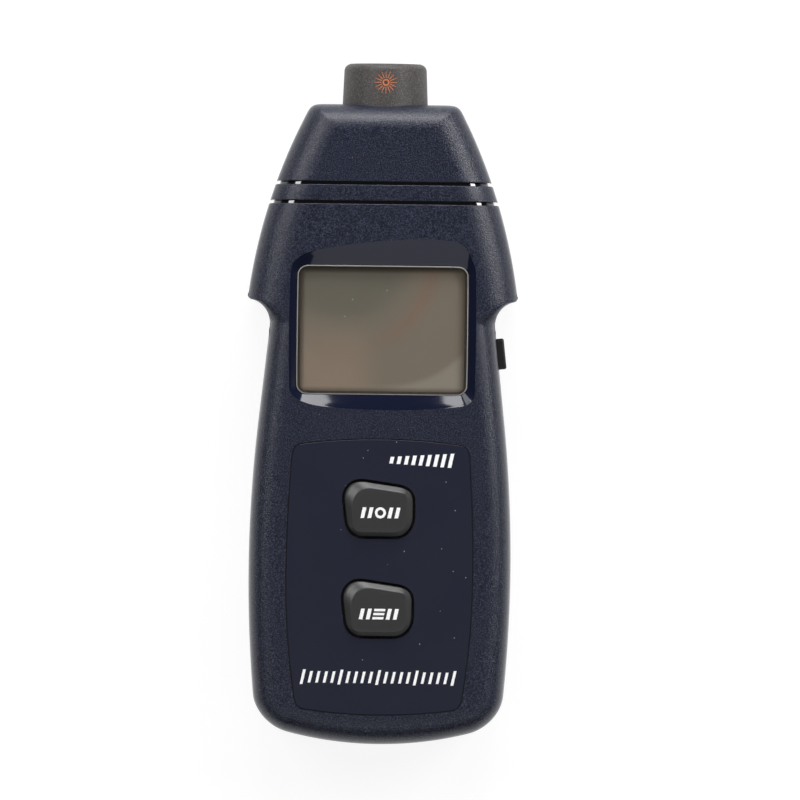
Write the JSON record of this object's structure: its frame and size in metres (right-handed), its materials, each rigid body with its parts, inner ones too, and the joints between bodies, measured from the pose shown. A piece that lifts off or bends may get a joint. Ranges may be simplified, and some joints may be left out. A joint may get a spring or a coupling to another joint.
{
  "type": "laser tachometer",
  "caption": "Hand-held laser tachometer with an optic collar, a display window, a label panel, sprung keys and a sliding battery door.",
  "frame": {"origin": "middle of the case's length and width, on the plane that its back rests on", "axes": "+Y along the case towards the optic collar, +Z out of the display, +X to the right of the display"},
  "size_m": [0.0732, 0.185, 0.0326],
  "materials": {
    "case_plastic": "fine spark-eroded texture",
    "collar_plastic": "matte",
    "key_plastic": "satin",
    "side_key_plastic": "satin",
    "window_plastic": "clear, polished",
    "label_film": "smooth film",
    "print_white": "ink",
    "print_orange": "ink",
    "display_glass": "polished",
    "light_plastic": "satin",
    "black_plastic": "satin",
    "contact_rubber": "matte",
    "board": "solder mask",
    "steel": "nickel plated",
    "brass": "turned",
    "lens_glass": "polished",
    "capacitor_sleeve": "shrink sleeve",
    "cell_sleeve": "shrink sleeve"
  },
  "bodies": {
    "case": {"front_shell": "case_plastic", "rear_shell": "case_plastic", "optic_collar": "collar_plastic", "display_window": "window_plastic", "front_label": "label_film", "read_switch": "black_plastic", "mem_switch": "black_plastic", "test_switch": "black_plastic", "lcd_glass": "display_glass", "lcd_frame": "light_plastic", "zebra_strips": "contact_rubber", "main_board": "board", "mcu_chip": "black_plastic", "quartz_crystal": "steel", "filter_capacitor": "capacitor_sleeve", "sensor_board": "board", "aperture_plate": "black_plastic", "optics_holder": "black_plastic", "receiver_lens": "lens_glass", "laser_module": "brass", "photodiode": "lens_glass", "light_shield": "black_plastic", "cell_1": "cell_sleeve", "cell_2": "cell_sleeve", "cell_3": "cell_sleeve", "cell_4": "cell_sleeve", "battery_springs": "steel", "battery_contacts": "steel", "case_screws": "steel", "board_screws": "steel"},
    "upper_key": {"read_key": "key_plastic", "read_plunger": "light_plastic"},
    "lower_key": {"mem_key": "key_plastic", "mem_plunger": "light_plastic"},
    "side_key": {"test_button": "side_key_plastic", "test_plunger": "light_plastic"},
    "door": {"battery_door": "case_plastic"}
  },
  "joints": [
    {"name": "upper_key_press", "type": "slide", "parent": "case", "child": "upper_key", "axis": [0, 0, -1], "range_m": [0, 0.0006], "stiffness_N_per_m": 800, "springref_m": -0.0003},
    {"name": "lower_key_press", "type": "slide", "parent": "case", "child": "lower_key", "axis": [0, 0, -1], "range_m": [0, 0.0006], "stiffness_N_per_m": 800, "springref_m": -0.0003},
    {"name": "side_key_press", "type": "slide", "parent": "case", "child": "side_key", "axis": [-0.9942, -0.108, 0], "range_m": [0, 0.0006], "stiffness_N_per_m": 800, "springref_m": -0.0003},
    {"name": "door_slide", "type": "slide", "parent": "case", "child": "door", "axis": [0, -1, 0], "range_m": [0, 0.072]}
  ]
}
